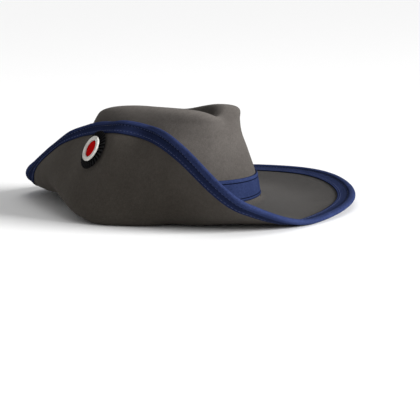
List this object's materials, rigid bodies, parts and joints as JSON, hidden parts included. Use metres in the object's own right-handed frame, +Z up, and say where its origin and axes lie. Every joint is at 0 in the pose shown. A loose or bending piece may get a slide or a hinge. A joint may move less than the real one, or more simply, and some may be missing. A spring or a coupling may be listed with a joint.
{
  "type": "slouch hat",
  "caption": "wide-brimmed felt hat with one side of the brim turned up against the creased crown, bound edge, ribbon band and round pleated cockade",
  "frame": {"origin": "middle of the hat's outline, on the surface that it rests on", "axes": "+Y toward the back of the hat, along its length; +Z up; -X the turned-up side, the wearer's right"},
  "size_m": [0.31, 0.3919, 0.1109],
  "materials": {
    "felt": "brushed warm grey felt, matt",
    "binding_ribbon": "navy woven ribbon, slight sheen",
    "band_ribbon": "blue ribbed ribbon, slight sheen",
    "black_ribbon": "black pleated ribbon",
    "white_ribbon": "off-white woven ribbon over a padded ring",
    "red_cloth": "red wool cloth over a low domed button",
    "post_metal": "plain steel"
  },
  "bodies": {
    "root": {"felt_body": "felt", "edge_binding": "binding_ribbon", "hat_band": "band_ribbon", "cockade_rosette": "black_ribbon", "cockade_ring": "white_ribbon", "cockade_boss": "red_cloth", "cockade_post": "post_metal"}
  },
  "joints": []
}
